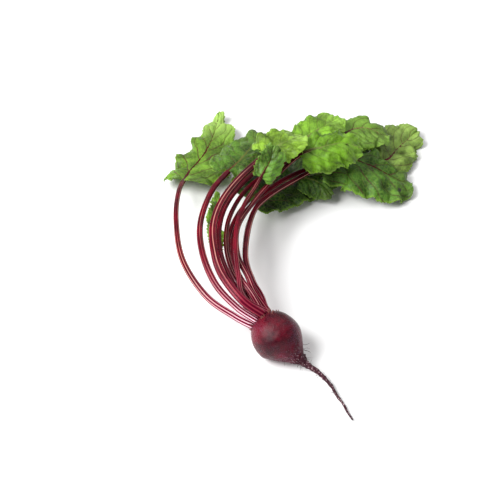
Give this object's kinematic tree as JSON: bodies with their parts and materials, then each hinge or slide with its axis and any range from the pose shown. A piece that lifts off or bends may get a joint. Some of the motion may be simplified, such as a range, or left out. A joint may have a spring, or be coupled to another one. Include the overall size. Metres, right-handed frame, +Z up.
{
  "type": "beetroot",
  "caption": "Beetroot as picked, lying on its side: a round dark red root with a long thin tail and a fan of arching crimson stalks that ends in a heap of waved green leaves.",
  "frame": {"origin": "centre of the small flat spot under the root, where it touches the surface", "axes": "+Z up from the surface; +Y along the surface from the root to the leaves; +X to the right when looking from the root to the leaves"},
  "size_m": [0.3065, 0.4582, 0.0929],
  "materials": {
    "root_skin": "satin",
    "stalk": "satin",
    "leaf": "satin"
  },
  "bodies": {
    "root": {"root": "root_skin", "leaf_left_stalk": "stalk", "leaf_left_blade": "leaf", "leaf_folded_stalk": "stalk", "leaf_folded_blade": "leaf", "leaf_top_stalk": "stalk", "leaf_top_blade": "leaf", "leaf_upright_stalk": "stalk", "leaf_upright_blade": "leaf", "leaf_back_stalk": "stalk", "leaf_back_blade": "leaf", "leaf_bright_stalk": "stalk", "leaf_bright_blade": "leaf", "leaf_back_right_stalk": "stalk", "leaf_back_right_blade": "leaf", "leaf_far_right_stalk": "stalk", "leaf_far_right_blade": "leaf", "leaf_dark_stalk": "stalk", "leaf_dark_blade": "leaf", "leaf_under_stalk": "stalk", "leaf_under_blade": "leaf", "leaf_small_stalk": "stalk", "leaf_small_blade": "leaf", "leaf_low_stalk": "stalk", "leaf_low_blade": "leaf"}
  },
  "joints": []
}
